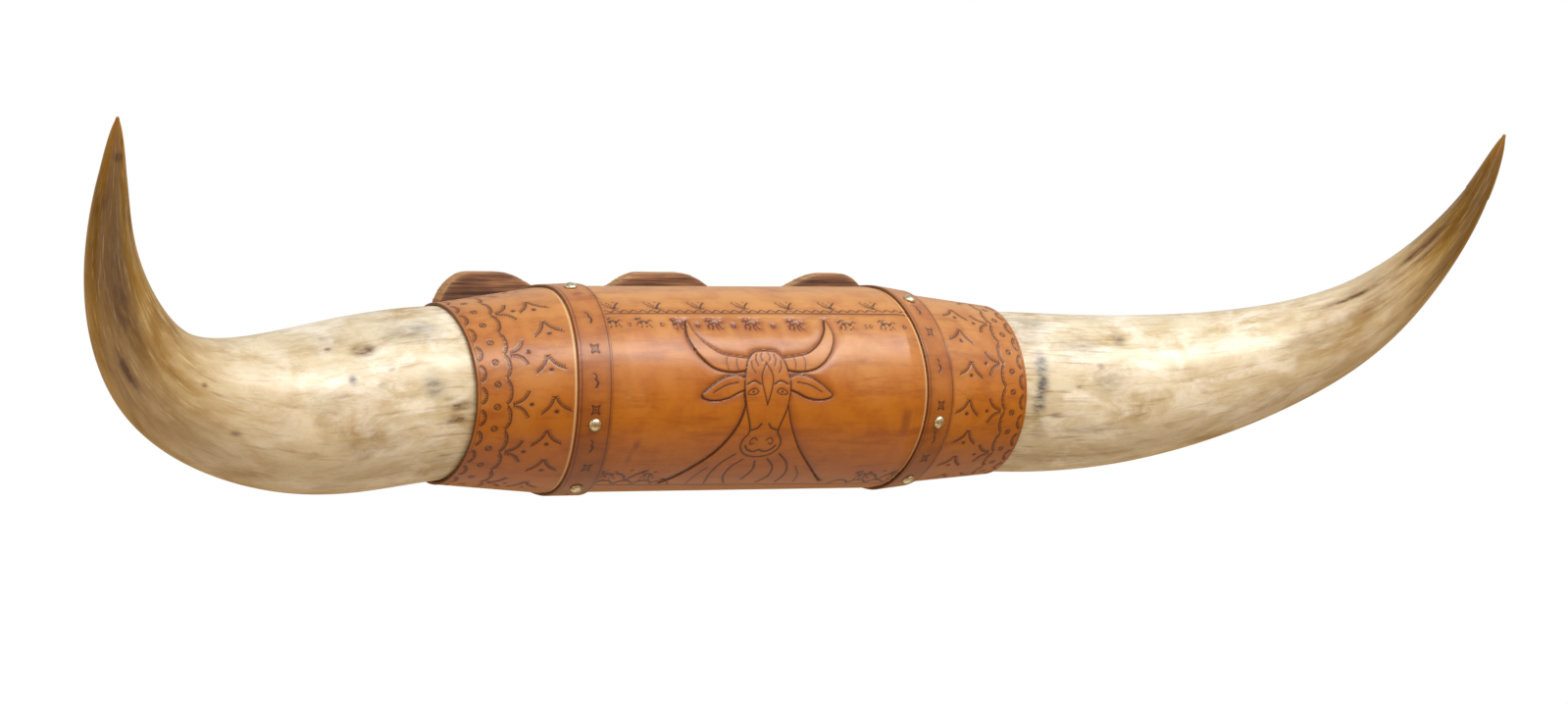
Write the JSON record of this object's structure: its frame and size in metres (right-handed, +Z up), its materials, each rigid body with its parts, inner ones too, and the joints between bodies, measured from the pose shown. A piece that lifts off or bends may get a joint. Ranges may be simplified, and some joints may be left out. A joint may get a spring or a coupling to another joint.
{
  "type": "mounted bull horns",
  "caption": "Pair of polished bull horns joined by a leather-wrapped core with tooled cuffs and straps, on a scalloped wooden wall board.",
  "frame": {"origin": "centre of the board's back face, at the height of the leather roll's axis", "axes": "+Y out of the board's back into the wall, the front faces -Y, +Z up, +X along the roll to the viewer's right"},
  "size_m": [1.12, 0.3179, 0.2787],
  "materials": {
    "polished_horn": "polished horn, cream and tan at the foot to dark amber brown at the tip",
    "tooled_leather": "vegetable tanned leather with dark tooled lines, satin",
    "strap_leather": "vegetable tanned strap leather, satin",
    "weathered_board": "dark weathered wood with a paler cut edge",
    "core_timber": "plain sawn softwood",
    "nickel_plate": "worn nickel plate",
    "zinc_plate": "zinc plated steel"
  },
  "bodies": {
    "root": {"backboard": "weathered_board", "core": "core_timber", "centre_panel": "tooled_leather", "horn_left": "polished_horn", "cuff_left": "tooled_leather", "strap_left": "strap_leather", "hanger_screw_left": "zinc_plate", "nail_left_top": "nickel_plate", "nail_left_front": "nickel_plate", "nail_left_bottom": "nickel_plate", "horn_right": "polished_horn", "cuff_right": "tooled_leather", "strap_right": "strap_leather", "hanger_screw_right": "zinc_plate", "nail_right_top": "nickel_plate", "nail_right_front": "nickel_plate", "nail_right_bottom": "nickel_plate", "board_screw_1": "zinc_plate", "board_screw_2": "zinc_plate", "board_screw_3": "zinc_plate", "board_screw_4": "zinc_plate", "hanger": "zinc_plate"}
  },
  "joints": []
}
